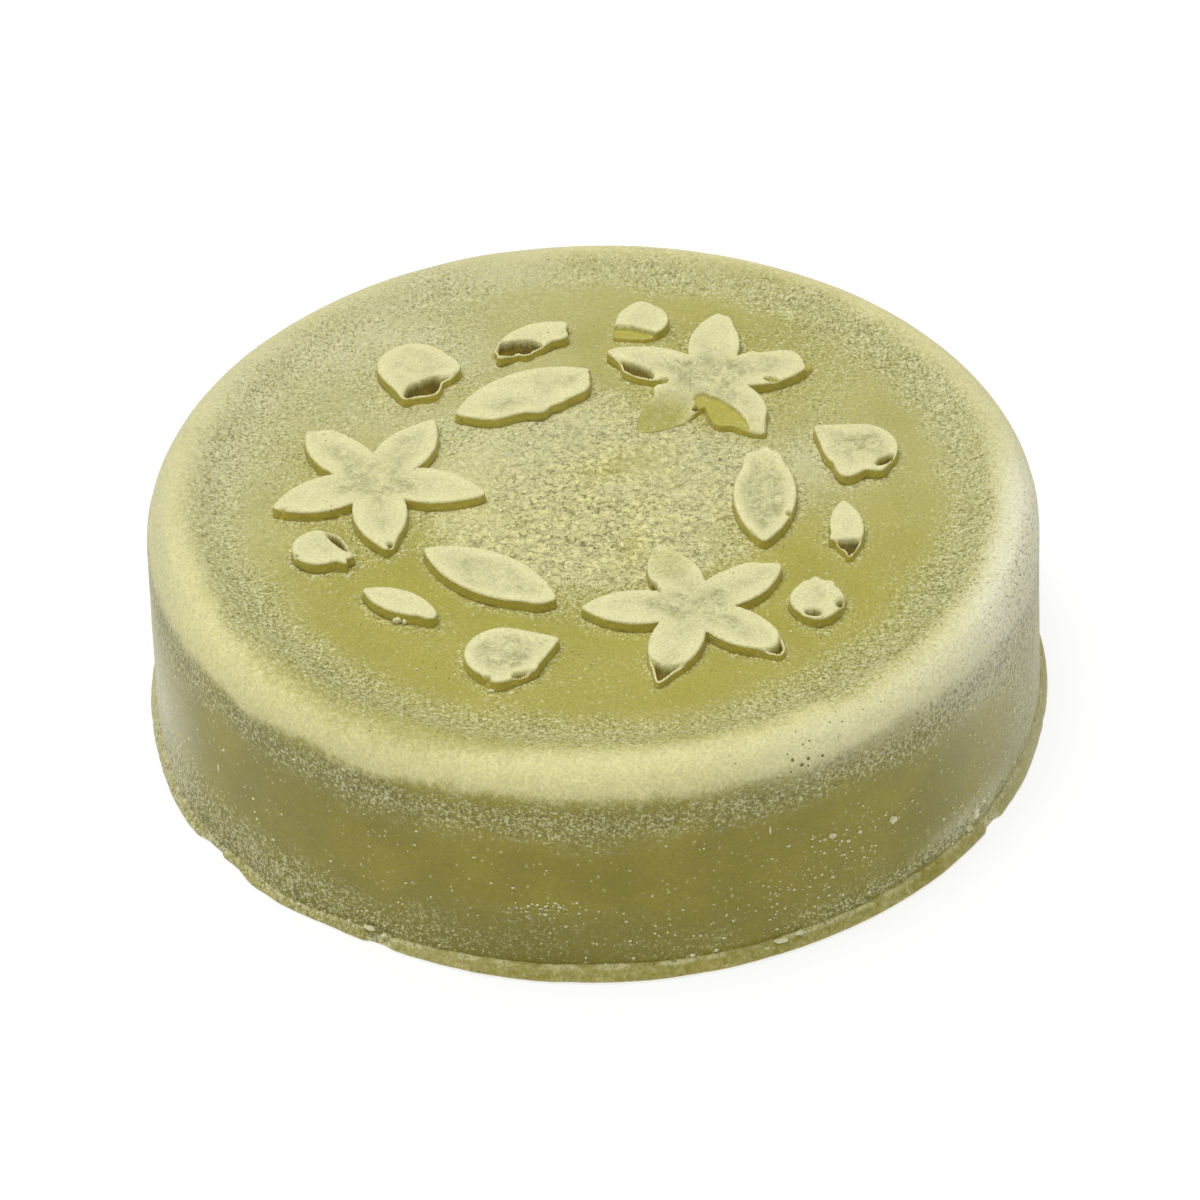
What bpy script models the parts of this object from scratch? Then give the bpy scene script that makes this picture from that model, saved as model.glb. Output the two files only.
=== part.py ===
"""Shaving soap puck: a cast round puck with a wreath of raised motifs on its top face.

Metres, +Z up. The origin is the centre of the underside, which lies on the surface
that the puck rests on. The wreath repeats three times round the puck, and each
repeat has a star flower, two pointed leaves and two drop-shaped petals.
"""

import math

import bmesh
import bpy
from mathutils import Matrix, Vector

# ---------------------------------------------------------------------------
# Driving dimensions, metres
# ---------------------------------------------------------------------------

# Cast body
BASE_RADIUS = 0.0380        # outside of the moulding flash round the foot
FIELD_HEIGHT = 0.0194       # underside to the sunken flat field
WALL_DRAFT = 0.0006         # how much narrower the wall is at its top than at its foot
RIM_RISE = 0.0010           # crest of the rim above the field
SHOULDER_WIDTH = 0.0031     # wall to crest, seen from above
SHOULDER_DROP = 0.0034      # crest to the top of the straight wall
RIM_RAMP_WIDTH = 0.0036     # crest down to the edge of the field, seen from above

# Moulding flash round the foot
FLASH_THICKNESS = 0.0008
FLASH_HEIGHT = 0.0016
FLASH_OVERHANG = 0.0006     # how far the flash stands out from the wall
FLASH_TOP_CHAMFER = 0.0003

# Fits
SEAT_GAP = 0.0003           # clearance between a piece and the face it sits on

# Wreath. The motifs' sizes are as drawn on a wreath of DRAWN_WREATH_RADIUS, and
# they are scaled with the wreath so that it fits the field.
WREATH_MARGIN = 0.0037      # edge of the field to the outside of the wreath
DRAWN_WREATH_RADIUS = 0.0264
RELIEF_HEIGHT = 0.0010      # field to the flat tops of the motifs
RELIEF_EDGE_ROUND = 0.0002

FLOWER_TIP_RADIUS = 0.0091
FLOWER_NOTCH_RADIUS = 0.0035
FLOWER_PETAL_BULGE = 0.00092
FLOWER_PETALS = 5

LARGE_LEAF_LENGTH = 0.0129
LARGE_LEAF_WIDTH = 0.0052

SMALL_LEAF_LENGTH = 0.0073
SMALL_LEAF_WIDTH = 0.0030

LARGE_PETAL_ROUND_RADIUS = 0.00315
LARGE_PETAL_POINT_REACH = 0.00486

SMALL_PETAL_ROUND_RADIUS = 0.00228
SMALL_PETAL_POINT_REACH = 0.00333

# Layout of one repeat: the share of the wreath's radius at which each motif's centre stands,
# its angle round the ring, and the way it points, both in degrees from +X
FLOWER_PLACE = (0.678, 175.8, -12.8)
LARGE_LEAF_PLACE = (0.538, 233.5, -32.8)
SMALL_LEAF_PLACE = (0.814, 223.4, -28.4)
LARGE_PETAL_PLACE = (0.860, 251.3, 21.4)
SMALL_PETAL_PLACE = (0.892, 198.8, -24.4)
REPEATS = ("left", "front", "back")     # a name for each repeat, spread evenly round the ring

# Facets
TURNED_STEPS = 96
SHOULDER_STEPS = 7
RAMP_STEPS = 5
PETAL_SIDE_STEPS = 6
LEAF_SIDE_STEPS = 12
ROUND_END_STEPS = 20
EDGE_STEPS = 2

# ---------------------------------------------------------------------------
# Sizes that follow from them
# ---------------------------------------------------------------------------

wall_foot_radius = BASE_RADIUS - FLASH_OVERHANG
wall_top_radius = wall_foot_radius - WALL_DRAFT
crest_radius = wall_top_radius - SHOULDER_WIDTH
field_radius = crest_radius - RIM_RAMP_WIDTH
crest_height = FIELD_HEIGHT + RIM_RISE
shoulder_height = crest_height - SHOULDER_DROP
flash_inner_radius = BASE_RADIUS - FLASH_THICKNESS
flash_seat_radius = flash_inner_radius - SEAT_GAP
flash_seat_height = FLASH_HEIGHT + SEAT_GAP
wreath_radius = field_radius - WREATH_MARGIN
wreath_scale = wreath_radius / DRAWN_WREATH_RADIUS

# ---------------------------------------------------------------------------
# Materials
# ---------------------------------------------------------------------------


def soap(name, colour, roughness):
    """A Principled material, its colour linear."""
    material = bpy.data.materials.new(name)
    material.use_nodes = True
    shader = material.node_tree.nodes["Principled BSDF"]
    shader.inputs["Base Color"].default_value = (*colour, 1.0)
    shader.inputs["Roughness"].default_value = roughness
    shader.inputs["Metallic"].default_value = 0.0
    return material


# ---------------------------------------------------------------------------
# Turned pieces
# ---------------------------------------------------------------------------


def turned(name, profile, closed, material):
    """Turns a profile of (radius, height) points round the Z axis. It runs down the outside."""
    mesh = bpy.data.meshes.new(name)
    points = [(radius, 0.0, height) for radius, height in profile]
    edges = [(i, i + 1) for i in range(len(points) - 1)]
    if closed:
        edges.append((len(points) - 1, 0))
    mesh.from_pydata(points, edges, [])
    piece = bpy.data.objects.new(name, mesh)
    bpy.context.collection.objects.link(piece)
    mesh.materials.append(material)
    screw = piece.modifiers.new("turn", "SCREW")
    screw.axis = "Z"
    screw.angle = 2 * math.pi
    screw.steps = TURNED_STEPS
    screw.render_steps = TURNED_STEPS
    screw.use_smooth_shade = True
    screw.use_merge_vertices = True
    screw.merge_threshold = 0.00001
    return piece


def body_profile():
    """The field, the ramp to the rim's crest, the round shoulder, the wall and the seat of the flash."""
    profile = [(0.0, FIELD_HEIGHT)]
    for i in range(RAMP_STEPS + 1):
        t = i / RAMP_STEPS
        rise = RIM_RISE * (1 - math.cos(math.pi * t)) / 2
        profile.append((field_radius + RIM_RAMP_WIDTH * t, FIELD_HEIGHT + rise))
    for i in range(1, SHOULDER_STEPS + 1):
        t = math.pi / 2 * i / SHOULDER_STEPS
        profile.append(
            (
                crest_radius + SHOULDER_WIDTH * math.sin(t),
                shoulder_height + SHOULDER_DROP * math.cos(t),
            )
        )
    profile.append((wall_foot_radius, flash_seat_height))
    profile.append((flash_seat_radius, flash_seat_height))
    profile.append((flash_seat_radius, 0.0))
    profile.append((0.0, 0.0))
    return profile


def flash_profile():
    return [
        (flash_inner_radius, FLASH_HEIGHT),
        (BASE_RADIUS - FLASH_TOP_CHAMFER, FLASH_HEIGHT),
        (BASE_RADIUS, FLASH_HEIGHT - FLASH_TOP_CHAMFER),
        (BASE_RADIUS, 0.0),
        (flash_inner_radius, 0.0),
    ]


# ---------------------------------------------------------------------------
# Outlines of the motifs, counter-clockwise, pointing along +X
# ---------------------------------------------------------------------------


def arc(start, end, bulge, steps):
    """Points from start to just before end, on the arc that stands out by bulge on the right of the way."""
    way = end - start
    chord = way.length
    radius = (chord * chord / 4 + bulge * bulge) / (2 * bulge)
    right = Vector((way.y, -way.x)) / chord
    centre = (start + end) / 2 - right * (radius - bulge)
    half_turn = math.asin(min(1.0, chord / 2 / radius))
    if bulge > radius:
        half_turn = math.pi - half_turn
    points = []
    for i in range(steps):
        turn = half_turn * (2 * i / steps - 1)
        out = Matrix.Rotation(turn, 2) @ right
        points.append(centre + out * radius)
    return points


def polar(radius, angle):
    return Vector((radius * math.cos(angle), radius * math.sin(angle)))


def star_outline():
    """Pointed petals, each with two bulging sides from its tip to the notches beside it."""
    half_pitch = math.pi / FLOWER_PETALS
    outline = []
    for i in range(FLOWER_PETALS):
        angle = 2 * half_pitch * i
        tip = polar(FLOWER_TIP_RADIUS, angle)
        before = polar(FLOWER_NOTCH_RADIUS, angle - half_pitch)
        after = polar(FLOWER_NOTCH_RADIUS, angle + half_pitch)
        outline += arc(before, tip, FLOWER_PETAL_BULGE, PETAL_SIDE_STEPS)
        outline += arc(tip, after, FLOWER_PETAL_BULGE, PETAL_SIDE_STEPS)
    return outline


def leaf_outline(length, width):
    """Two equal arcs that meet in two points."""
    left = Vector((-length / 2, 0.0))
    right = Vector((length / 2, 0.0))
    lower = arc(left, right, width / 2, LEAF_SIDE_STEPS)
    upper = arc(right, left, width / 2, LEAF_SIDE_STEPS)
    return lower + upper


def drop_outline(round_radius, point_reach):
    """A circle drawn out to a point on one side, by its two tangents."""
    touch = math.acos(round_radius / point_reach)
    outline = [Vector((point_reach, 0.0))]
    for i in range(ROUND_END_STEPS + 1):
        angle = touch + (2 * math.pi - 2 * touch) * i / ROUND_END_STEPS
        outline.append(polar(round_radius, angle))
    return outline


# ---------------------------------------------------------------------------
# Raised motifs
# ---------------------------------------------------------------------------


def raised_mesh(name, outline):
    """The outline, scaled with the wreath, as a plate whose top stands RELIEF_HEIGHT over the field."""
    shape = bmesh.new()
    rim = [shape.verts.new((p.x * wreath_scale, p.y * wreath_scale, 0.0)) for p in outline]
    floor = shape.faces.new(rim)
    raised = bmesh.ops.extrude_face_region(shape, geom=[floor])
    top = [part for part in raised["geom"] if isinstance(part, bmesh.types.BMVert)]
    bmesh.ops.translate(shape, verts=top, vec=(0.0, 0.0, RELIEF_HEIGHT - SEAT_GAP))
    bmesh.ops.recalc_face_normals(shape, faces=shape.faces)
    mesh = bpy.data.meshes.new(name)
    shape.to_mesh(mesh)
    shape.free()
    mesh.shade_smooth()
    mesh.set_sharp_from_angle(angle=math.radians(35))
    return mesh


def motif(name, mesh, place, step, parent):
    """One raised piece, standing SEAT_GAP over the field."""
    share, angle, turn = place
    at = polar(share * wreath_radius, math.radians(angle + step))
    piece = bpy.data.objects.new(name, mesh)
    bpy.context.collection.objects.link(piece)
    piece.location = (at.x, at.y, FIELD_HEIGHT + SEAT_GAP)
    piece.rotation_euler = (0.0, 0.0, math.radians(turn + step))
    piece.parent = parent
    edge = piece.modifiers.new("round_edge", "BEVEL")
    edge.width = RELIEF_EDGE_ROUND
    edge.segments = EDGE_STEPS
    edge.limit_method = "ANGLE"
    edge.angle_limit = math.radians(60)
    return piece


def wreath(material):
    """Every motif of every repeat, each its own piece on a mesh that its kind shares."""
    large_leaf = leaf_outline(LARGE_LEAF_LENGTH, LARGE_LEAF_WIDTH)
    small_leaf = leaf_outline(SMALL_LEAF_LENGTH, SMALL_LEAF_WIDTH)
    large_petal = drop_outline(LARGE_PETAL_ROUND_RADIUS, LARGE_PETAL_POINT_REACH)
    small_petal = drop_outline(SMALL_PETAL_ROUND_RADIUS, SMALL_PETAL_POINT_REACH)
    kinds = (
        ("flower", star_outline(), FLOWER_PLACE),
        ("large_leaf", large_leaf, LARGE_LEAF_PLACE),
        ("small_leaf", small_leaf, SMALL_LEAF_PLACE),
        ("large_petal", large_petal, LARGE_PETAL_PLACE),
        ("small_petal", small_petal, SMALL_PETAL_PLACE),
    )
    centre = bpy.data.objects.new("wreath_centre", None)
    bpy.context.collection.objects.link(centre)
    for kind, outline, place in kinds:
        mesh = raised_mesh(kind, outline)
        mesh.materials.append(material)
        for repeat, side in enumerate(REPEATS):
            step = 360 / len(REPEATS) * repeat
            motif(f"{kind}_{side}", mesh, place, step, centre)


def main():
    for old in list(bpy.data.objects):
        bpy.data.objects.remove(old)
    cast = soap("soap_body", (0.31, 0.29, 0.09), 0.55)
    flash = soap("soap_flash", (0.42, 0.39, 0.16), 0.60)
    worn = soap("soap_relief", (0.66, 0.63, 0.33), 0.62)
    turned("puck_body", body_profile(), False, cast)
    turned("foot_flash", flash_profile(), True, flash)
    wreath(worn)


main()
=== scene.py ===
"""Looks of the shaving soap puck: worn cast surfaces, soap materials, floor, light and camera."""

import itertools
import math

import bpy
import numpy as np
from mathutils import Matrix, Vector
from mathutils.geometry import delaunay_2d_cdt


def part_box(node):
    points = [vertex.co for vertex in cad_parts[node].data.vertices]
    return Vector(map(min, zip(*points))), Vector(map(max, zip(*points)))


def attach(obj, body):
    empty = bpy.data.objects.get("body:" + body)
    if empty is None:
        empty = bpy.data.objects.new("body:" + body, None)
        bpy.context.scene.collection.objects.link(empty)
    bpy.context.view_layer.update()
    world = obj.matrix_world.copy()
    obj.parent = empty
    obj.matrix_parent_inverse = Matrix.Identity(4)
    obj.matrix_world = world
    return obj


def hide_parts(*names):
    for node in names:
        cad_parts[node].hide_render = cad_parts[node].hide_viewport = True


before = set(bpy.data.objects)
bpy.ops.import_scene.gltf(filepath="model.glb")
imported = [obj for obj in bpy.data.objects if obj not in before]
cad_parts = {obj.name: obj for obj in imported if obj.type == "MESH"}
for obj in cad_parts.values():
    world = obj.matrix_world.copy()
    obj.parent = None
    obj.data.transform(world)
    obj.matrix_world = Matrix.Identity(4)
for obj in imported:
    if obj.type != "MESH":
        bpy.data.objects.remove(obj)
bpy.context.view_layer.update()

# Shapes are worked out in millimetres and become metres in make_piece.
MM = 0.001
TAU = 2 * math.pi


# ---- Smooth random fields, all seeded ----

NOISE_CELLS = 48


def noise(points, pitch, seed):
    """Smooth values from -1 to 1 that change over about pitch, for points of two or three coordinates."""
    sides = points.shape[1]
    table = np.random.default_rng(seed).random((NOISE_CELLS,) * sides)
    at = points / pitch + 1000.0
    cell = np.floor(at).astype(np.int64)
    part = at - cell
    part = part * part * (3 - 2 * part)
    value = np.zeros(len(points))
    for corner in itertools.product((0, 1), repeat=sides):
        weight = np.prod(np.where(corner, part, 1 - part), axis=1)
        value += weight * table[tuple(((cell + corner) % NOISE_CELLS).T)]
    return 2 * value - 1


def rough(points, pitch, seed, octaves=3):
    """Noise with finer noise on top, each octave half as wide and half as strong."""
    total = sum(noise(points, pitch / 2**i, seed + i) / 2**i for i in range(octaves))
    return total / (2 - 2 ** (1 - octaves))


def ease(low, high, value):
    """0 below low, 1 above high, and smooth between them."""
    part = np.clip((value - low) / (high - low), 0, 1)
    return part * part * (3 - 2 * part)


def flakes(points, pitch, seed):
    """Plates about pitch across with grooves between them: 1 in a plate's middle, 0 at its edge."""
    cell = np.floor(points / pitch).astype(np.int64)
    table = np.random.default_rng(seed).random((NOISE_CELLS, NOISE_CELLS, 2))
    nearest = np.full((2, len(points)), 9.0)
    for step in itertools.product((-1, 0, 1), repeat=2):
        there = cell + step
        seeds = there + table[tuple((there % NOISE_CELLS).T)]
        gap = np.linalg.norm(seeds - points / pitch, axis=1)
        nearest = np.sort(np.vstack([nearest, gap]), axis=0)[:2]
    return np.clip((nearest[1] - nearest[0]) * 1.6, 0, 1)


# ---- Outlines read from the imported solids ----


def cad_points(node):
    """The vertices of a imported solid, in millimetres."""
    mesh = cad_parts[node].data
    flat = np.empty(len(mesh.vertices) * 3)
    mesh.vertices.foreach_get("co", flat)
    return flat.reshape(-1, 3) / MM


def heading_of(offsets):
    return np.arctan2(offsets[:, 1], offsets[:, 0])


def resampled(loop, pitch):
    """Points spaced evenly along a closed line."""
    closed = np.vstack([loop, loop[:1]])
    along = np.concatenate([[0], np.cumsum(np.linalg.norm(np.diff(closed, axis=0), axis=1))])
    stops = np.linspace(0, along[-1], int(along[-1] / pitch) + 1)[:-1]
    return np.stack([np.interp(stops, along, closed[:, i]) for i in (0, 1)], axis=1)


def motif_outline(node, pitch):
    """A raised motif's outline, counter-clockwise, with its facets smoothed, and its centre."""
    points = cad_points(node)
    low = points[points[:, 2] < points[:, 2].min() + 0.01, :2]
    low = np.unique(np.round(low, 3), axis=0)
    centre = low.mean(axis=0)
    loop = resampled(low[np.argsort(heading_of(low - centre))], pitch)
    smooth = sum(np.roll(loop, i, axis=0) for i in (-2, -1, 0, 1, 2)) / 5
    return smooth, loop.mean(axis=0)


def gap_to(loop, points):
    """How far each point is from the nearest point of a line."""
    gaps = np.empty(len(points))
    for i in range(0, len(points), 4000):
        some = points[i : i + 4000, None, :] - loop[None, :, :]
        gaps[i : i + 4000] = np.sqrt((some**2).sum(axis=2).min(axis=1))
    return gaps


def inside(loop, points):
    """Which points lie inside a closed line."""
    x, y = points[:, :1], points[:, 1:]
    x0, y0 = loop.T
    x1, y1 = np.roll(loop, -1, axis=0).T
    crosses = (y0 > y) != (y1 > y)
    rise = np.where(y1 == y0, 1e-12, y1 - y0)
    return (crosses & (x < x0 + (y - y0) / rise * (x1 - x0))).sum(axis=1) % 2 == 1


# ---- Meshes ----


def make_piece(name, points, faces, masks, material, node=None):
    """A smooth mesh that rides on the puck, with its masks as vertex attributes."""
    mesh = bpy.data.meshes.new(name)
    mesh.from_pydata((points * MM).tolist(), [], faces)
    for mask, values in masks.items():
        layer = mesh.attributes.new(mask, "FLOAT", "POINT")
        layer.data.foreach_set("value", np.clip(values, 0, 1).astype(np.float32))
    mesh.materials.append(material)
    mesh.shade_smooth()
    mesh.validate()
    piece = bpy.data.objects.new(name, mesh)
    bpy.context.scene.collection.objects.link(piece)
    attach(piece, "root")
    if node:
        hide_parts(node)
    return piece


def disc_triangles(rings):
    """Triangles of a disc whose ring i holds 6 i points, numbered from its centre outwards."""
    first = [0] + [1 + 3 * i * (i - 1) for i in range(1, rings + 1)]
    faces = []
    for i in range(rings):
        side, j = np.divmod(np.arange(6 * (i + 1)), i + 1)
        outer = first[i + 1] + side * (i + 1) + j
        outer_next = first[i + 1] + (side * (i + 1) + j + 1) % (6 * (i + 1))
        inner = first[i] + (side * i + j) % max(1, 6 * i)
        faces.append(np.stack([inner, outer, outer_next], axis=1))
        fits = j < i
        inner_next = first[i] + (side * i + j + 1) % max(1, 6 * i)
        faces.append(np.stack([inner, outer_next, inner_next], axis=1)[fits])
    return np.concatenate(faces)


def disc_layout(rings):
    """Ring number and angle of each of those points."""
    ring = np.concatenate([np.full(max(1, 6 * i), i) for i in range(rings + 1)])
    turn = np.concatenate([np.arange(max(1, 6 * i)) / max(1, 6 * i) for i in range(rings + 1)])
    return ring, turn * TAU


def band_quads(upper, lower):
    """Faces between two closed rows of equal length, facing out when the lower row is second."""
    return np.stack([upper, lower, np.roll(lower, -1), np.roll(upper, -1)], axis=1)


# ---- The puck's body ----

TOP_RINGS = 120
WALL_ROWS = 60
COLUMNS = 6 * TOP_RINGS
FINE_PER_COARSE = 2     # the wall's columns to each point of the underside's edge
WREATH_REACH = 30       # no motif comes further out than this
FAR = 9.0               # stands for any distance from a motif that is too long to matter
UNDERSIDE_INSET = 0.7
UNDERSIDE_RISE = 0.25   # how far the middle of the underside has shrunk away from the floor


def body_profile():
    """The turned solid's (radius, height) line from its middle to its foot, without the flash's seat."""
    points = cad_points("puck_body")
    line = np.stack([np.hypot(points[:, 0], points[:, 1]), points[:, 2]], axis=1)
    line = np.unique(np.round(line, 3), axis=0)
    middle = line.max(axis=0) / 2
    line = line[np.argsort(-heading_of(line - middle))]
    line = line[line[:, 1] > middle[1]]
    middle_of_top = [0.0, line[0][1]]
    foot = [points[:, 0].max(), 0.0]
    return np.vstack([[middle_of_top], line, [foot]])


class Profile:
    """A line of radius and height, read by the length along it."""

    def __init__(self, line):
        self.line = line
        steps = np.linalg.norm(np.diff(line, axis=0), axis=1)
        self.along = np.concatenate([[0], np.cumsum(steps)])
        self.length = self.along[-1]
        self.crest = self.along[np.argmax(line[:, 1])]

    def lean(self, height, angle):
        """How far the wall stands out from the mould's: the soap slumped a little as it was turned out."""
        low = np.clip(1 - height / self.line[:, 1].max(), 0, 1)
        foot = (0.45 * compass(angle, 207, 16) + 0.5 * compass(angle, 227, 9)) * ease(6, 1, height)
        return low * (0.16 * np.cos(angle) - 0.1) + 0.14 * compass(angle, 190, 42) + foot

    def side_radius(self, height):
        side = self.line[np.argmax(self.line[:, 1]) :][::-1]
        return np.interp(height, side[:, 1], side[:, 0])

    def at(self, along):
        return [np.interp(along, self.along, self.line[:, i]) for i in (0, 1)]

    def normal(self, along):
        """The outward normal's parts along the radius and the height, smoothed over a short stretch."""
        reach = 0.6
        r0, z0 = self.at(np.clip(along - reach, 0, self.length))
        r1, z1 = self.at(np.clip(along + reach, 0, self.length))
        size = np.hypot(r1 - r0, z1 - z0)
        return (z0 - z1) / size, (r1 - r0) / size


def cylindrical(radius, angle, height):
    return np.stack([radius * np.cos(angle), radius * np.sin(angle), height], axis=1)


def compass(angle, heading, spread):
    """1 at a heading in degrees, falling to 0 at spread degrees to either side."""
    off = np.abs((np.degrees(angle) - heading + 180) % 360 - 180)
    return 1 - ease(0, spread, off)


def hump(value, middle, width):
    """1 where a value is at the middle, falling away on both sides over about the width."""
    return np.exp(-(((value - middle) / width) ** 2))


class Skin:
    """Points over the body's top and wall as the mould made them, with what the wear is worked out from."""

    def __init__(self, profile, motifs):
        ring, disc_angle = disc_layout(TOP_RINGS)
        self.disc_size = len(ring)
        rows = np.arange(1, WALL_ROWS + 1) / WALL_ROWS
        wall_along = np.repeat(profile.crest + (profile.length - profile.crest) * rows, COLUMNS)
        wall_angle = np.tile(np.arange(COLUMNS) / COLUMNS * TAU, WALL_ROWS)
        along = np.concatenate([profile.crest * ring / TOP_RINGS, wall_along])
        self.angle = np.concatenate([disc_angle, wall_angle])
        self.radius, self.height = profile.at(along)
        self.out, self.up = profile.normal(along)
        self.place = cylindrical(self.radius, self.angle, self.height)
        self.facing = cylindrical(self.out, self.angle, self.up)
        self.past_crest = along - profile.crest
        self.on_top = self.up > 0.5
        self.on_side = self.out > 0.5

        field = self.height < profile.line[0][1] + 0.35
        close = np.flatnonzero(field & (self.radius < WREATH_REACH))
        self.gap = np.full(len(along), FAR)
        for loop in motifs:
            self.gap[close] = np.minimum(self.gap[close], gap_to(loop[::3], self.place[close, :2]))
        wander = self.radius + 3.4 * noise(self.place, 4.5, 4) + 1.2 * noise(self.place, 1.5, 13)
        self.middle = 1 - ease(9.5, 16.5, wander)


def body_points(skin, profile):
    """The cast surface: the mould's, gently swollen, with a flaky middle and a slumped wall."""
    place = skin.place
    back = -0.24 * compass(skin.angle, 92, 100) * hump(skin.past_crest, 0, 5)
    swell = back + 0.07 * noise(place, 13, 1) + 0.035 * noise(place, 5, 2) + 0.014 * rough(place, 1.6, 3)
    crust = skin.middle * (0.085 * flakes(place[:, :2], 0.75, 5) - 0.055) * (skin.up > 0.9)
    points = place + skin.facing * (swell + crust)[:, None]
    lean = profile.lean(skin.height, skin.angle) * ease(0.2, 0.9, skin.out)
    points[:, :2] *= (1 + lean / np.maximum(skin.radius, 1))[:, None]
    return points


def dust_on(skin):
    """Crystals that have bloomed inside the rim, under the shoulder, at the foot and round the motifs, and
    down the wall's ends, where they are partly painted sheen.
    """
    angle, radius, height, on_side = skin.angle, skin.radius, skin.height, skin.on_side
    rim = hump(radius, 31.0, 2.8) * skin.on_top * (0.6 - 0.28 * compass(angle, 100, 80))
    side = 0.66 * hump(height, 15.6, 1.8) * on_side
    # Partly painted sheen: more dust where the wall is seen edge-on, at 345° and 192°
    side += 0.6 * compass(angle, 345, 38) * ease(9, 17, height) * on_side
    side += 0.5 * (compass(angle, 345, 24) + 0.7 * compass(angle, 192, 24)) * on_side
    foot = hump(height, 2.0, 3.4) * on_side * (0.2 + 0.8 * compass(angle, 212, 48))
    foot += 0.9 * hump(height, 2.1, 0.8) * compass(angle, 318, 32) * on_side
    around = 0.62 * np.exp(-skin.gap / 0.8)
    field = 0.12 + 0.3 * compass(angle, 148, 80) + 0.12 * compass(angle, 40, 60)
    field = np.maximum(field, 0.5 * hump(radius, 13.5, 3.5)) * ease(3, 12, radius) * skin.on_top
    dust = np.maximum.reduce([rim, side, foot, around, field])
    patchy = noise(skin.place, 6.5, 6) + 0.6 * noise(skin.place, 2.4, 7)
    return dust + 0.35 * field * (dust > field) + 0.16 * patchy * (dust > 0.02)


def cream_on(skin):
    """Dried soap: the shoulder, where it stands proud, and the border of the crust."""
    angle = skin.angle
    ragged = 0.45 * noise(skin.place, 4, 8) + 0.25 * rough(skin.place, 1.1, 9)
    inward = skin.past_crest + ragged - 1.5 * compass(angle, 236, 38) + 0.5 * compass(angle, 0, 50)
    outward = skin.past_crest + (1.2 + compass(angle, 232, 30)) * ragged
    outward -= 2.2 * compass(angle, 345, 30) + 0.7 * compass(angle, 214, 36)
    shoulder = ease(-2.8, 2.1, inward) * (1 - ease(3.2, 5.3, outward))
    shoulder *= 0.93 + 0.1 * noise(skin.place, 2.6, 14)
    border = 0.25 + 0.5 * compass(angle, 215, 75) + 0.45 * compass(angle, 152, 50)
    return np.maximum(shoulder, border * hump(skin.radius, 10.5, 3.8) * skin.on_top)


def veil_and_sheen_on(skin):
    """A smooth pale bloom over the back of the top and inside the rim, and down both ends of the wall, where
    the wall is seen edge-on and the bloom is partly a painted sheen.
    """
    angle, radius, on_top = skin.angle, skin.radius, skin.on_top
    cloudy = 0.8 + 0.3 * noise(skin.place, 5, 16)
    veil = 0.95 * compass(angle, 125, 80) * ease(2, 14, radius) * on_top * cloudy
    veil += 0.3 * hump(radius, 31.5, 2.5) * on_top + 0.35 * compass(angle, 20, 60) * on_top
    veil += 0.7 * hump(np.hypot(skin.place[:, 0] - 18.5, skin.place[:, 1] - 3), 0, 4) * on_top
    veil += 0.35 * compass(angle, 180, 50) * ease(22, 27, radius) * on_top
    # Painted sheen over some real bloom: the wall's two ends, seen edge-on, and the right of its upper part
    # are painted paler for the grazing reflection there.
    ends = compass(angle, 186, 26) + compass(angle, 354, 22)
    ends *= 0.8 + 0.35 * noise(skin.place, 3.5, 17)
    return veil + skin.on_side * (ends + 0.5 * compass(angle, 338, 30) * ease(7, 16, skin.height))


def white_and_painted_light_on(skin):
    """The palest soap, with painted light: the right of the shoulder and the wall below it are painted paler
    for light that side lacks in the scene, the left of the foot is painted paler as sheen where the wall is
    seen edge-on, and there is a patch over the flash.
    """
    angle, height, past = skin.angle, skin.height, skin.past_crest
    # Painted light: the right of the shoulder over pale bloom, and toward 310° where the shoulder darkens
    # away from the light
    white = 1.2 * compass(angle, 346, 36) * ease(-1.5, 2, past) * (0.2 + 0.8 * ease(11, 17, height))
    white += 0.4 * compass(angle, 310, 32) * ease(0, 2, past) * ease(15, 18, height)
    # Painted sheen over pale bloom where the left of the wall is seen edge-on
    white += 0.45 * compass(angle, 196, 18) * ease(16, 6, height) * skin.on_side
    white += 0.55 * compass(angle, 324, 14) * hump(height, 2.6, 1.4) * skin.on_side
    return white


def body_masks(skin):
    angle, past = skin.angle, skin.past_crest
    cream = cream_on(skin)
    off_centre = np.hypot(skin.place[:, 0] - 3.5, skin.place[:, 1] - 2.0)
    plain = 0.35 * ease(7, 2, off_centre + 1.5 * noise(skin.place, 3, 10))
    bare = 0.5 * compass(angle, 165, 75) * ease(4, 9, skin.radius)
    crust = skin.middle * (1 - plain - bare) * (0.82 + 0.35 * noise(skin.place, 3.4, 15))
    dust = dust_on(skin) * (1 - 0.75 * ease(0.3, 0.9, cream))
    return {
        "cream": cream,
        "dust": dust + cream * (0.12 + 0.12 * compass(angle, 340, 60)),
        "crust": crust * skin.on_top,
        "wall": ease(2.5, 6.0, past),
        "veil": veil_and_sheen_on(skin),
        "white": white_and_painted_light_on(skin),
        # Painted shade over the low front of the wall
        "shade": compass(angle, 262, 36) * ease(8.5, 3, skin.height) * skin.on_side,
        "pitted": compass(angle, 297, 24) * ease(0.2, 1.2, past) * (past < 4.2),
    }


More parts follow.
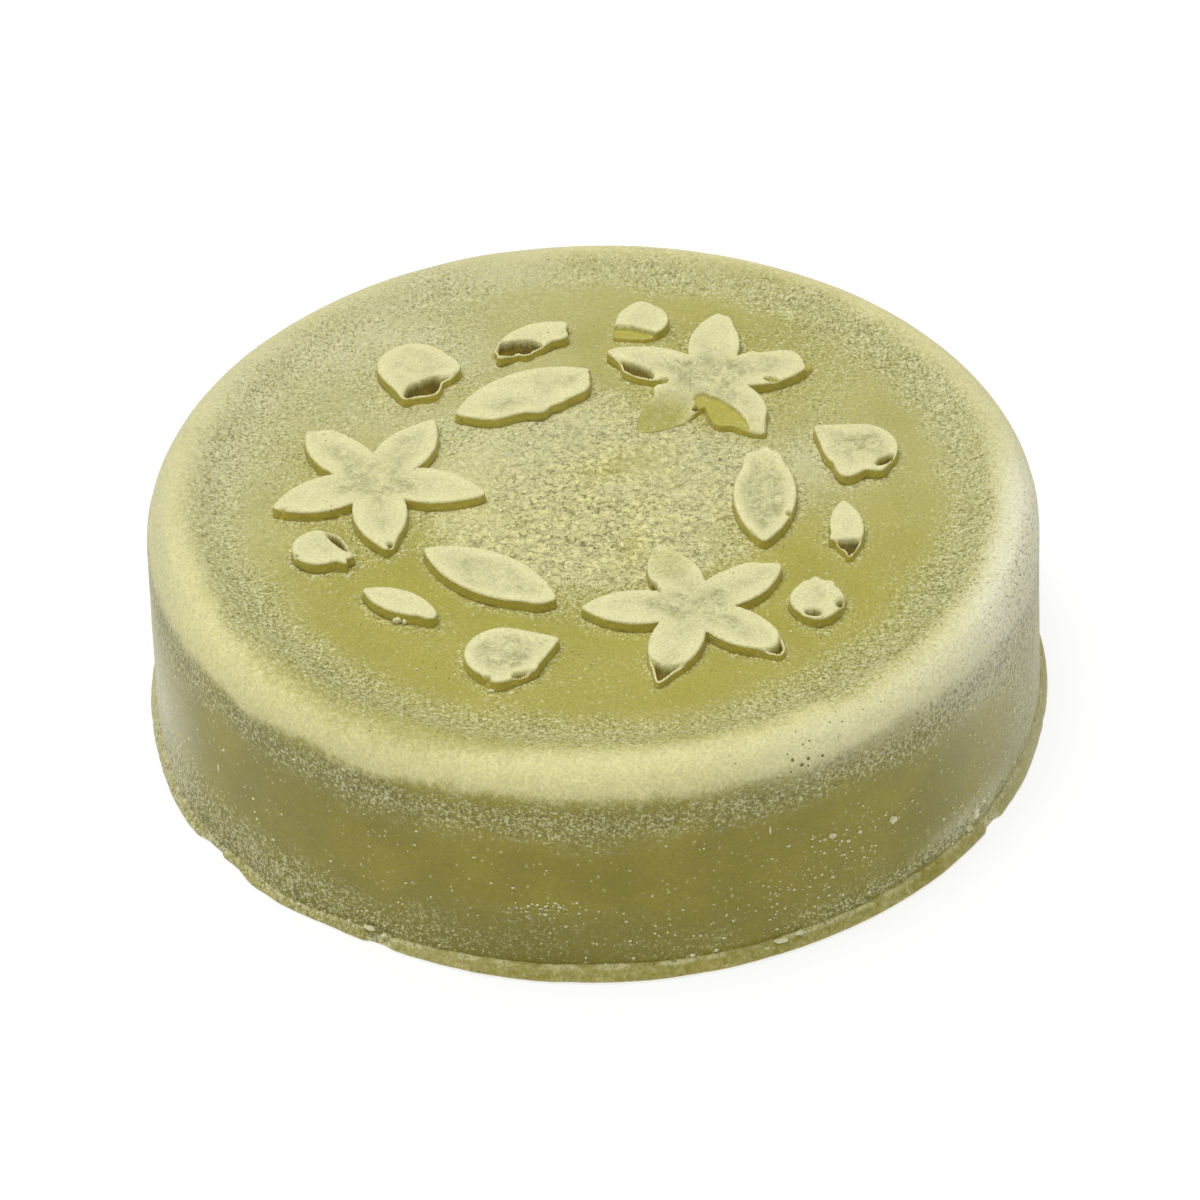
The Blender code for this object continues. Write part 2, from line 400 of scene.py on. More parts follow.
def underside(first, rim, base_radius):
    """A coarser disc, its points numbered from first, and the faces that make it and stitch it to the rim."""
    rings = TOP_RINGS // FINE_PER_COARSE
    ring, angle = disc_layout(rings)
    radius = (base_radius - UNDERSIDE_INSET) * ring / rings
    points = cylindrical(radius, angle, np.zeros(len(ring)))
    hollow = UNDERSIDE_RISE * (1 - (radius / base_radius) ** 2)
    points[:, 2] = hollow + 0.05 * rough(points, 4, 11) * (1 - ease(30, 36, radius))
    faces = (disc_triangles(rings)[:, ::-1] + first).tolist()
    edge = first + len(points) - 6 * rings + np.arange(6 * rings)
    for j in range(len(edge)):
        fine = rim[(FINE_PER_COARSE * j + np.arange(-1, 2)) % COLUMNS]
        after = edge[(j + 1) % len(edge)]
        faces.append([int(edge[j]), int(fine[1]), int(fine[0])])
        faces.append([int(edge[j]), int(fine[2]), int(fine[1])])
        faces.append([int(edge[j]), int(after), int(fine[2])])
    return points, faces


def build_body(material, profile, motifs):
    skin = Skin(profile, motifs)
    points = body_points(skin, profile)
    faces = disc_triangles(TOP_RINGS).tolist()
    upper = skin.disc_size - COLUMNS + np.arange(COLUMNS)
    for row in range(WALL_ROWS):
        lower = skin.disc_size + row * COLUMNS + np.arange(COLUMNS)
        faces += band_quads(upper, lower).tolist()
        upper = lower
    under, closing = underside(len(points), upper, profile.line[-1][0])
    blank = np.zeros(len(under))
    masks = {name: np.concatenate([mask, blank]) for name, mask in body_masks(skin).items()}
    masks["dust"][len(points) :] = 0.3 + 0.3 * noise(under, 9, 12)
    masks["wall"][len(points) :] = 1.0
    points = np.vstack([points, under])
    make_piece("puck_body_cast", points, faces + closing, masks, material, "puck_body")


# ---- The moulding flash round the foot ----

FLASH_COLUMNS = 1200
# Headings in degrees where the flash has chipped away, with half their widths
FLASH_CHIPS = ((327, 2.4), (242, 2.4), (214, 2.6), (25, 2), (77, 2), (131, 3), (172, 2.4))
# The section of the flash from inside its top, over the lip, to inside its foot: shares of height and width
FLASH_SECTION = (
    (1.05, -0.9), (1.03, -0.15), (0.99, 0.1), (0.93, 0.3), (0.82, 0.52), (0.66, 0.74), (0.48, 0.92),
    (0.32, 1.0), (0.2, 0.98), (0.12, 0.86), (0.07, 0.6), (0.05, 0.2), (0.04, -0.5), (0.2, -0.9),
)


def build_flash(material, profile):
    high = np.array(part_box("foot_flash")[1]) / MM
    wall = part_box("puck_body")[1].x / MM
    angle = np.arange(FLASH_COLUMNS) / FLASH_COLUMNS * TAU
    circle = cylindrical(np.full(FLASH_COLUMNS, high[0]), angle, np.zeros(FLASH_COLUMNS))
    ragged = 1.2 * noise(circle, 2.0, 21)
    chip = sum(compass(angle, heading + ragged, width) for heading, width in FLASH_CHIPS)
    chip = np.clip(chip * 1.5, 0, 1)
    proud = 0.58 + 0.12 * np.cos(angle - math.radians(-30)) + 0.12 * rough(circle, 5, 22)
    proud += 0.3 * compass(angle, 222, 4) + 0.15 * compass(angle, 207, 13) + 0.35 * compass(angle, 268, 32)
    proud = np.clip(proud, 0.12, None) * (1 - 0.5 * chip)
    rise = high[2] * (0.8 + 0.16 * rough(circle, 5, 23, 4)) * (1 - 0.25 * chip)
    rise *= 1 - 0.45 * compass(angle, 225, 45)
    lean = profile.lean(0.5, angle)
    points, masks = [], {"cream": [], "dust": [], "crust": [], "wall": [], "veil": []}
    for up, out in FLASH_SECTION:
        radius = wall + lean + np.where(out < 0, out * 0.5, out * proud)
        line = cylindrical(radius, angle, rise * up)
        wobble = 0.045 * rough(line, 1.1, 24, 3) * (out > 0)
        line[:, :2] *= (1 + wobble / radius)[:, None]
        line[:, 2] += 0.05 * noise(line, 0.8, 25) * (up > 0.3)
        points.append(line)
        lip = hump(up, 0.97, 0.06) * ease(-0.5, 0.4, noise(line, 1.3, 26))
        left = compass(angle, 215, 50)
        masks["cream"].append(np.clip(0.3 + 0.5 * chip + 0.55 * lip + 0.15 * noise(line, 3, 27), 0, 1))
        masks["dust"].append(np.clip(0.1 + 0.5 * lip + 0.4 * chip + 0.5 * left, 0, 1))
        masks["crust"].append(0.5 * chip + 0.25 * left)
        masks["wall"].append(np.full(FLASH_COLUMNS, 0.75))
        # Painted sheen: the flash's two ends, seen edge-on, are painted paler for the grazing reflection
        # there.
        masks["veil"].append(0.8 * (compass(angle, 190, 30) + compass(angle, 345, 30)))
    faces = []
    count = len(FLASH_SECTION)
    for i in range(count):
        upper = i * FLASH_COLUMNS + np.arange(FLASH_COLUMNS)
        lower = (i + 1) % count * FLASH_COLUMNS + np.arange(FLASH_COLUMNS)
        faces += band_quads(upper, lower).tolist()
    masks = {name: np.concatenate(mask) for name, mask in masks.items()}
    make_piece("foot_flash_cast", np.vstack(points), faces, masks, material, "foot_flash")


# ---- Crumbs that stick to the soap ----

# On the wall: heading in degrees, height in millimetres, then half its width, height and thickness
WALL_CRUMBS = (
    (291, 12.7, 0.1, 0.42, 0.1), (299.5, 9.9, 0.34, 0.26, 0.14), (301.8, 8.7, 0.2, 0.12, 0.1),
    (293.5, 10.5, 0.12, 0.12, 0.08), (308.8, 8.5, 0.34, 0.36, 0.12), (303.5, 9.1, 0.2, 0.16, 0.12),
    (283.8, 9.9, 0.08, 0.08, 0.06), (276.2, 8.1, 0.08, 0.14, 0.06), (299.5, 5.7, 0.15, 0.12, 0.1),
    (309.8, 2.4, 0.12, 0.1, 0.08), (305, 2.3, 0.16, 0.12, 0.1), (265, 7.2, 0.22, 0.09, 0.08),
    (263.2, 6.4, 0.22, 0.1, 0.08), (278, 4.2, 0.1, 0.1, 0.06), (282, 3.4, 0.12, 0.1, 0.06),
    (214.5, 8.5, 0.09, 0.4, 0.08), (324.8, 2.6, 0.42, 0.75, 0.2), (323.2, 1.6, 0.35, 0.3, 0.2),
    (326.6, 3.0, 0.2, 0.35, 0.16), (292.2, 1.2, 0.7, 0.2, 0.2), (294.6, 1.4, 0.4, 0.16, 0.16),
    (290.2, 1.0, 0.35, 0.14, 0.16), (240.5, 1.4, 0.5, 0.15, 0.16), (242.6, 1.2, 0.28, 0.12, 0.14),
    (336, 7.9, 0.08, 0.3, 0.07), (331, 3.2, 0.1, 0.1, 0.08),
    (284, 1.6, 0.2, 0.12, 0.1), (281, 1.5, 0.25, 0.1, 0.1), (268, 2.0, 0.1, 0.08, 0.06),
)
# On the top: place in millimetres, then half its sizes
TOP_CRUMBS = (
    (-1.2, 13.4, 0.26, 0.42, 0.34), (-15.8, -16.3, 0.4, 0.28, 0.34), (-7.8, -24.4, 0.36, 0.24, 0.28),
    (-15.2, -16.5, 0.2, 0.18, 0.24), (-7.3, -24.9, 0.22, 0.18, 0.2), (-8.3, -25.2, 0.3, 0.14, 0.14),
)
# Patches of fine crumbs on the wall: heading, height, spread in degrees and millimetres, how many
WALL_PATCHES = (
    (299, 8, 12, 3.6, 110), (264, 6.8, 5, 1.4, 40), (290, 4, 22, 3, 90), (324, 3, 6, 2.8, 70),
    (240, 2, 10, 1.4, 40), (250, 9, 50, 8, 90), (330, 9, 20, 8, 50), (205, 8, 20, 8, 40),
)


def crumb(centre, sizes, facing, seed):
    """A rough lump: its points and faces, half sunk in the surface that faces that way."""
    rows, columns = 8, 12
    tilt = np.repeat(np.linspace(0.02, math.pi - 0.02, rows), columns)
    turn = np.tile(np.arange(columns) / columns * TAU, rows)
    ball = np.stack([np.sin(tilt) * np.cos(turn), np.sin(tilt) * np.sin(turn), np.cos(tilt)], axis=1)
    ball *= (1 + 0.65 * rough(ball + seed, 0.5, 61, 2))[:, None]
    up = np.array(facing, dtype=float)
    side = np.cross([0, 0, 1], up) if abs(up[2]) < 0.9 else np.array([1.0, 0, 0])
    side /= np.linalg.norm(side)
    ahead = np.cross(up, side)
    points = centre + (ball * sizes) @ np.array([side, ahead, up])
    faces = [[*range(columns)], [*range((rows - 1) * columns, rows * columns)][::-1]]
    for row in range(rows - 1):
        upper = row * columns + np.arange(columns)
        faces += band_quads(upper, upper + columns).tolist()
    return points, faces


def build_crumbs(name, crumbs, material):
    points, faces = [], []
    for seed, (centre, sizes, facing) in enumerate(crumbs):
        some, sides = crumb(np.array(centre), np.array(sizes), facing, seed * 3.7)
        start = sum(map(len, points))
        faces += [[i + start for i in side] for side in sides]
        points.append(some)
    points = np.vstack(points)
    tone = 0.82 + 0.18 * noise(points, 0.9, 62)
    masks = {"cream": tone}
    make_piece(name, points, faces, masks, material)


def all_crumbs(profile, field_height):
    """Every crumb's centre, half sizes and the way its surface faces: on the wall, then on the top."""
    chance = np.random.default_rng(63)
    spots = list(WALL_CRUMBS)
    for heading, height, turn, spread, count in WALL_PATCHES:
        for _ in range(count):
            size = 0.03 + 0.07 * chance.random() ** 2
            at = heading + turn * chance.normal() * 0.5, max(0.9, height + spread * chance.normal() * 0.5)
            spots.append((*at, size * (1 + chance.random()), size, 0.05))
    wall = []
    for heading, height, width, tall, thick in spots:
        way = math.radians(heading)
        radius = profile.side_radius(height) + profile.lean(height, way)
        if height < 1.5:
            radius += 0.3
        place = radius * math.cos(way), radius * math.sin(way), height
        wall.append((place, (width, tall, thick + 0.07), (math.cos(way), math.sin(way), 0.0)))
    top = [((x, y, field_height + 0.12), sizes, (0, 0, 1)) for x, y, *sizes in TOP_CRUMBS]
    for _ in range(150):
        way, reach = chance.random() * TAU, 8 + 22 * chance.random()
        size = 0.03 + 0.06 * chance.random() ** 2
        place = reach * math.cos(way), reach * math.sin(way), field_height + 0.02
        top.append((place, (size * (1 + chance.random()), size, 0.1), (0, 0, 1)))
    return wall, top


# ---- The raised motifs ----

OUTLINE_PITCH = 0.1
FILL_PITCH = 0.105
FILL_GAP = 0.07         # no point inside comes nearer the outline than this
EDGE_ROUND = 0.14
LEAST_HEIGHT = 0.03     # of a motif's worn top over the field
WIDE = 6.895            # motifs that reach further than this are dull round their centre
WALL_SPREAD = 0.12      # how much wider a motif is at its foot than at its top
SUNK = 0.2              # how far its foot goes into the body
WALL_LEVELS = 7

# How each cast motif differs from the mould's outline: how much wider it is all round, then swellings and
# losses as heading in degrees, half width in degrees and millimetres.
SHAPES = {
    "flower_left": (0.25, (119, 9, 0.55), (61, 7, 0.3), (344, 8, 0.35), (201, 6, 0.1), (279, 8, 0.5)),
    "flower_front": (0.12, (318, 6, 0.7), (252, 7, 0.7), (50, 9, 0.4)),
    "flower_back": (
        0.2, (158, 5, 0.4), (152, 10, 0.3), (174, 11, 0.85), (76, 6, 0.4), (26, 11, 0.85), (42, 8, 0.7),
        (272, 15, 1.5), (307, 9, -0.4), (195, 8, 0.8),
    ),
    "large_leaf_left": (0.22, (316, 12, 0.4)),
    "large_leaf_front": (0.2, (104, 13, 0.75), (75, 8, 0.4)),
    "large_leaf_back": (0.3, (4, 22, 1.0), (338, 30, 0.5), (300, 28, 0.6), (233, 24, 0.45)),
    "small_leaf_left": (0.1, (320, 14, 0.65)),
    "small_leaf_front": (0.1, (228, 16, 0.4), (271, 8, 0.3)),
    "small_leaf_back": (0.35, (228, 15, 1.15), (0, 22, 0.7), (260, 22, 0.4)),
    "large_petal_left": (0.2, (255, 28, 0.5), (315, 12, 0.15)),
    "large_petal_front": (0.2, (255, 28, 1.1), (300, 20, 0.5)),
    "large_petal_back": (0.2, (0, 40, 0.85), (299, 34, 0.95)),
    "small_petal_left": (0.15, (315, 10, 0.6)),
    "small_petal_front": (0.12, (54, 18, 0.35), (270, 45, 0.35), (100, 14, -0.45)),
    "small_petal_back": (0.15, (88, 35, 0.45)),
}
# Damage to each motif. Every entry gives where it is from the motif's centre: heading in degrees and reach in
# millimetres. A hollow is an oval that dropped out when the soap was turned out of the mould: half its length
# along the heading, half its width, a further turn of the oval, the thickness of the wall left at the outline
# (None where that wall has gone too), and the height left in it as a share of the relief.
# A cut is the same for everything past its reach, with a rounded end.
HOLLOWS = {
    "flower_left": ((279, 8.9, 0.34, 0.26, 0, 0.1, 0.2), (207, 8.5, 0.3, 0.1, 0, None, 0.4)),
    "flower_front": ((137, 4.2, 0.8, 0.15, -20, None, 0.05),),
    "flower_back": (
        (169.6, 6.4, 2.1, 0.66, -28, 0.15, 0.0),
        (189, 4.1, 0.6, 0.35, 0, None, 0.4),
        (352, 5.2, 0.6, 0.35, 0, None, 0.4),
        (279, 5.3, 3.3, 1.2, 28, None, 0.62),
        (253, 4.35, 0.45, 0.3, 0, None, 0.0),
    ),
    "large_leaf_front": ((250, 5.1, 1.0, 0.28, 60, None, 0.4), (304, 3.4, 0.3, 0.3, 0, None, 0.4)),
    "large_leaf_back": ((24, 6.5, 0.5, 0.4, 0, None, 0.4),),
    "small_leaf_left": ((262, 1.9, 0.9, 0.2, 80, None, 0.5),),
    "small_leaf_back": ((228, 2.1, 2.3, 1.0, -40, 0.15, 0.0),),
    "large_petal_left": ((242, 4.0, 0.6, 0.4, 0, None, 0.3), (294, 3.1, 1.0, 0.4, 76, 0.11, 0.1)),
    "large_petal_front": ((229, 3.75, 0.7, 0.45, 90, None, 0.1), (318, 3.1, 0.95, 0.45, 85, 0.12, 0.1)),
    "large_petal_back": ((302, 2.95, 2.6, 1.05, 86, 0.15, 0.0),),
    "small_petal_left": ((34, 1.6, 1.6, 0.45, 93, 0.12, 0.0), (203, 2.35, 0.3, 0.2, 0, 0.1, 0.2)),
    "small_petal_front": ((261, 1.95, 0.66, 0.4, 90, 0.11, 0.1), (338, 2.1, 0.55, 0.36, 90, 0.11, 0.1)),
    "small_petal_back": ((249, 1.8, 2.4, 0.8, 93, None, 0.4),),
}
CUTS = {
    "flower_front": ((251, 7.75, 0.4, 0.17, 0.0), (322, 8.15, 0.3, 0.15, 0.0)),
    "flower_back": ((11, 8.2, 0.0, None, 0.4),),
    "small_leaf_front": ((271.6, 1.75, -0.1, 0.12, 0.15),),
}
# Wear that lowers the top gently: heading, reach, half length, half width, millimetres lost at its middle
WORN = {
    "flower_front": ((107, 6.2, 3.6, 2.6, 0.45),),
    "flower_back": ((227, 6.6, 4.8, 3.6, 0.9), (299, 8.0, 1.6, 1.6, 0.3)),
    "flower_left": ((131, 7.2, 2.4, 2.4, 0.12),),
}
RIM_LOSS = 0.35         # how much lower the wall round a hollow is, as a share of the relief
# How far the middle of a top has sunk, in millimetres
SUNKEN = {
    "large_leaf_front": 0.24, "large_petal_left": 0.12, "large_petal_front": 0.08, "large_leaf_left": 0.06,
}


def cast_outline(node, loop, centre):
    """The outline a motif really has: the mould's, widened with round corners, with swellings and losses."""
    grow, *swellings = SHAPES[node]
    heading = np.arange(0, 360, 0.5)
    way = np.radians(heading)
    ray = np.stack([np.cos(way), np.sin(way)], axis=1)
    off = loop - centre
    ahead = off @ ray.T
    aside = off[:, :1] * ray[:, 1] - off[:, 1:] * ray[:, 0]
    past = np.sqrt(np.clip(grow**2 - aside**2, 0, None))
    radius = np.where(np.abs(aside) < grow, ahead + past, -1.0).max(axis=0)
    for at, spread, extra in swellings:
        radius += extra * compass(way, at, spread)
    return resampled(centre + ray * radius[:, None], OUTLINE_PITCH)


def turned_frame(points, centre, heading, reach, turn=0.0):
    """Each point's place along and across an oval."""
    out = math.radians(heading)
    middle = centre + reach * np.array([math.cos(out), math.sin(out)])
    way = out + math.radians(turn)
    off = points - middle
    along = off[:, 0] * math.cos(way) + off[:, 1] * math.sin(way)
    across = off[:, 1] * math.cos(way) - off[:, 0] * math.sin(way)
    return along, across


def motif_height(node, points, gap, centre):
    """How high each point of the top stands over the field as a share of the relief, and how hollow it is."""
    ragged = 0.07 * noise(points, 0.7, 31) + 0.04 * noise(points, 0.25, 32)
    left = np.ones(len(points))
    hollow = np.zeros(len(points))

    def take(inside_by, rim, floor):
        nonlocal left, hollow
        gone = ease(-0.05, 0.07, inside_by + ragged)
        if rim is not None:
            left = np.minimum(left, 1 - ease(-0.3, 0.25, inside_by) * RIM_LOSS)
            gone = gone * ease(rim - 0.04, rim + 0.06, gap)
        left = np.minimum(left, 1 - gone * (1 - floor))
        hollow = np.maximum(hollow, gone)

    for heading, reach, length, width, turn, rim, floor in HOLLOWS.get(node, ()):
        along, across = turned_frame(points, centre, heading, reach, turn)
        oval = np.hypot(along / length, across / width)
        take((1 - oval) * min(length, width), rim, floor)
    for heading, reach, bulge, rim, floor in CUTS.get(node, ()):
        along, across = turned_frame(points, centre, heading, reach)
        facing = np.hypot(*(points - centre).T) > 0.3 * reach
        near = (np.abs(across) < 2.6) & facing
        take(np.where(near, along + bulge * np.minimum(across**2, 2.0), -1.0), rim, floor)
    return left, hollow


def filled(loop, centre):
    """A flat sheet inside a closed line: its points, the line's own first, and its triangles, facing up."""
    reach = np.abs(loop - centre).max(axis=0) + FILL_PITCH
    columns = np.arange(-reach[0], reach[0], FILL_PITCH)
    rows = np.arange(-reach[1], reach[1], FILL_PITCH * math.sqrt(3) / 2)
    x, y = np.meshgrid(columns, rows)
    x = x + (np.arange(len(rows)) % 2)[:, None] * FILL_PITCH / 2
    fill = np.stack([x.ravel(), y.ravel()], axis=1) + centre
    fill = fill[inside(loop, fill)]
    fill = fill[gap_to(loop, fill) > FILL_GAP]
    points = [Vector(p) for p in np.vstack([loop, fill])]
    found = delaunay_2d_cdt(points, closed_edges(len(loop)), [], 1, 1e-6)
    flat = np.array([tuple(p) for p in found[0]])
    faces = [list(face) for face in found[2]]
    turning = flat[faces[0]]
    if np.cross(turning[1] - turning[0], turning[2] - turning[0]) < 0:
        faces = [face[::-1] for face in faces]
    return flat, faces


def closed_edges(count):
    return [(i, (i + 1) % count) for i in range(count)]


def cap_below(points, rim):
    """Faces that close a motif's foot, whose row of points is the rim."""
    foot = [Vector(p) for p in points[rim, :2]]
    found = delaunay_2d_cdt(foot, closed_edges(len(rim)), [], 1, 1e-9)
    faces = []
    if len(found[0]) == len(rim):
        for face in found[2]:
            a, b, c = (points[rim[i], :2] for i in face[:3])
            down = np.cross(b - a, c - a) < 0
            faces.append([int(rim[i]) for i in (face if down else face[::-1])])
    return faces


def motif_top(node, flat, gap, centre, relief, seed):
    """How high a motif's points stand over the field, how much of it wear has left, and their masks."""
    left, hollow = motif_height(node, flat, gap, centre)
    worn = np.zeros(len(flat))
    for heading, reach, length, width, loss in WORN.get(node, ()):
        along, across = turned_frame(flat, centre, heading, reach)
        worn = np.maximum(worn, loss * (1 - ease(0.35, 1.0, np.hypot(along / length, across / width))))
    rounding = EDGE_ROUND + 0.8 * worn
    inset = np.clip(rounding - gap, 0, None)
    drop = rounding - np.sqrt(np.clip(rounding**2 - inset**2, 0, None))
    sunk = SUNKEN.get(node, 0.0) * ease(0.35, 1.3, gap)
    lumps = 0.035 * noise(flat, 2.6, seed) + 0.012 * rough(flat, 0.6, seed + 1)
    height = (relief - drop * 0.9 - worn - sunk + lumps) * left

    ground = np.clip(1 - worn / relief, 0, 1)
    core = ease(0.35, 1.7, gap + 0.5 * noise(flat, 1.8, seed + 2))
    dull = core * (0.42 + 0.35 * noise(flat, 2.6, seed + 7) + 0.2 * noise(flat, 0.9, seed + 8)) + 2.2 * sunk
    if np.abs(flat - centre).max() > WIDE:
        dull += 0.4 * ease(4.5, 1.5, np.hypot(*(flat - centre).T))
    # Painted shade on the floor of a deep hollow
    deep = hollow * ease(0.62, 0.85, 1 - left)
    masks = {
        "cream": (1 - 0.95 * hollow) * (0.15 + 0.78 * ground),
        "dust": (0.1 + 0.1 * noise(flat, 2.2, seed + 3) + 0.08 * core) * (1 - hollow),
        "mottle": np.clip(1.25 * dull, 0, 1) * (1 - hollow),
        "deep": deep,
        "golden": 0.35 * (hollow - deep),
    }
    return np.clip(height, LEAST_HEIGHT, None), ground, masks


def motif_side(loop, top_edge, foot, ground, cream, seed):
    """Rows of points from the outline down into the body, each with its masks."""
    ahead = np.roll(loop, -1, axis=0) - np.roll(loop, 1, axis=0)
    away = np.stack([ahead[:, 1], -ahead[:, 0]], axis=1)
    away /= np.linalg.norm(away, axis=1)[:, None]
    for level in range(1, WALL_LEVELS + 1):
        part = level / WALL_LEVELS
        row = np.column_stack([loop, top_edge + (foot - top_edge) * part])
        out = WALL_SPREAD * part + 0.035 * rough(row, 0.5, seed + 4) * (level < WALL_LEVELS)
        row[:, :2] += away * out[:, None]
        bright = 1 - ease(0.0, 0.4, part + 0.25 * noise(row, 0.45, seed + 5))
        low = part + 0.2 * noise(row, 1.2, seed + 6)
        masks = {
            "cream": 0.9 * bright * cream,
            "dust": 0.25 * ease(0.4, 0.9, noise(row, 0.35, seed + 6)),
            "mottle": np.zeros(len(loop)),
            # Painted shade at the foot of the side, where it meets the field
            "deep": 0.6 * ease(0.68, 0.95, low) * ground,
            "golden": (1 - 0.4 * ease(0.3, 0.9, low)) * ground,
        }
        yield row, masks


def build_motif(node, loop, centre, material, field_height):
    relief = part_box(node)[1].z / MM - field_height
    seed = sum(map(ord, node))
    edge = len(loop)
    flat, faces = filled(loop, centre)
    gap = gap_to(loop, flat)
    gap[:edge] = 0
    height, ground, masks = motif_top(node, flat, gap, centre, relief, seed)
    top = np.column_stack([flat, field_height + height])
    foot = field_height - SUNK
    rows = list(motif_side(loop, top[:edge, 2], foot, ground[:edge], masks["cream"][:edge], seed))
    points = np.vstack([top] + [row for row, _ in rows])
    masks = {name: np.concatenate([masks[name]] + [extra[name] for _, extra in rows]) for name in masks}
    upper = np.arange(edge)
    for level in range(WALL_LEVELS):
        lower = len(top) + level * edge + np.arange(edge)
        faces += band_quads(upper, lower).tolist()
        upper = lower
    faces += cap_below(points, upper)
    make_piece(f"{node}_cast", points, faces, masks, material, node)


# ---- Material ----


OLIVE = (0.385, 0.356, 0.066)
# The wall's olive is darker than the top's partly in the soap and partly as painted shade
WALL_OLIVE_AND_SHADE = (0.3, 0.258, 0.022)
# Painted shade in the hollows, at the feet of the motifs' sides and in the air bubbles
DEEP_SHADE_OLIVE = (0.082, 0.056, 0.001)
CREAM = (0.79, 0.735, 0.35)
RELIEF_CREAM = (0.81, 0.765, 0.41)
PALE_CREAM = (0.84, 0.8, 0.45)
MOTTLED = (0.385, 0.36, 0.165)
FLAKE = (0.83, 0.785, 0.35)
DUST = (0.8, 0.77, 0.46)
# The bloom's colour, which also paints the sheen on the wall's ends
VEIL_AND_SHEEN = (0.64, 0.61, 0.35)
GOLDEN = (0.62, 0.54, 0.105)
# The palest bloom's colour, which also paints light on the right of the shoulder and sheen on the left of the
# foot
WHITE_AND_PAINTED_LIGHT = (0.93, 0.91, 0.7)
CRUMB = (0.9, 0.86, 0.54)
GAP = (0.19, 0.17, 0.05)

# What the vertex masks mean, each from 0 to 1. One that a piece doesn't have reads as 0.
MASKS = (
    "cream",    # dried cream
    "dust",     # crystals and the gaps between them, and partly painted sheen down the wall's ends
    "crust",    # the flaky middle of the top
    "wall",     # the darker olive of the wall, partly painted shade
    "mottle",   # dull patches on the motifs
    "deep",     # painted shade on the floor of a hollow and at the foot of a motif's side
    "pitted",   # thick with air bubbles
    "veil",     # smooth pale bloom, and painted sheen where the wall is seen edge-on
    "golden",   # fresh soap, at a break or on a motif's side
    "white",    # the palest bloom, with painted light on the right of the shoulder and painted sheen on the left of the foot
    "shade",    # painted shade: the darkest stretch of the wall, low at the front
)

SOAP_FINISH = {
    "IOR": 1.46,
    "Subsurface Weight": 0.15,
    "Subsurface Radius": (1.0, 0.85, 0.3),
    "Subsurface Scale": 0.0004,
    "Specular IOR Level": 0.4,
    "Sheen Weight": 0.08,
    "Sheen Roughness": 0.35,
    "Sheen Tint": (1.0, 1.0, 0.9, 1.0),
}


def shaded(colour, share):
    return tuple(c * share for c in colour)


class Nodes:
    """Short ways to add shader nodes to a material. A socket argument is a value or another node's output."""

    def __init__(self, material):
        self.tree = material.node_tree

    def add(self, kind, **settings):
        node = self.tree.nodes.new("ShaderNode" + kind)
        for name, value in settings.items():
            setattr(node, name, value)
        return node

    def feed(self, socket, value):
        if isinstance(value, bpy.types.NodeSocket):
            self.tree.links.new(value, socket)
        elif isinstance(value, tuple) and len(value) == 3 and socket.type == "RGBA":
            socket.default_value = (*value, 1.0)
        else:
            socket.default_value = value

    def math(self, operation, a, b):
        node = self.add("Math", operation=operation)
        self.feed(node.inputs[0], a)
        self.feed(node.inputs[1], b)
        return node.outputs[0]

    def times(self, a, b):
        return self.math("MULTIPLY", a, b)

    def plus(self, a, b):
        return self.math("ADD", a, b)

    def minus(self, a, b):
        return self.math("SUBTRACT", a, b)

    def mix(self, share, a, b, blend="MIX"):
        node = self.add("Mix", data_type="RGBA", blend_type=blend)
        self.feed(node.inputs["Factor"], share)
        self.feed(node.inputs[6], a)
        self.feed(node.inputs[7], b)
        return node.outputs[2]

    def step(self, value, low, high):
        """0 at low, 1 at high, smooth between them and level beyond."""
        node = self.add("MapRange", interpolation_type="SMOOTHSTEP", clamp=True)
        self.feed(node.inputs["Value"], value)
        self.feed(node.inputs["From Min"], low)
        self.feed(node.inputs["From Max"], high)
        return node.outputs[0]

    def place(self):
        """The object's own coordinates in millimetres."""
        node = self.add("Mapping")
        self.feed(node.inputs["Vector"], self.add("TexCoord").outputs["Object"])
        node.inputs["Scale"].default_value = (1 / MM, 1 / MM, 1 / MM)
        return node.outputs[0]

    def texture(self, where, pitch, detail=2.0, roughness=0.5, distortion=0.0):
        node = self.add("TexNoise")
        self.feed(node.inputs["Vector"], where)
        settings = {"Scale": 1 / pitch, "Detail": detail, "Roughness": roughness, "Distortion": distortion}
        for name, value in settings.items():
            node.inputs[name].default_value = value
        return node

    def noise(self, *settings):
        return self.texture(*settings).outputs["Fac"]

    def bent(self, where, pitch, amount):
        """The same coordinates pushed about, so that what is drawn in them comes out irregular."""
        push = self.add("VectorMath", operation="MULTIPLY_ADD")
        self.feed(push.inputs[0], self.texture(where, pitch, 1.0).outputs["Color"])
        push.inputs[1].default_value = (amount, amount, amount)
        self.feed(push.inputs[2], where)
        return push.outputs[0]

    def cells(self, where, pitch):
        node = self.add("TexVoronoi", feature="F1")
        self.feed(node.inputs["Vector"], where)
        node.inputs["Scale"].default_value = 1 / pitch
        return node


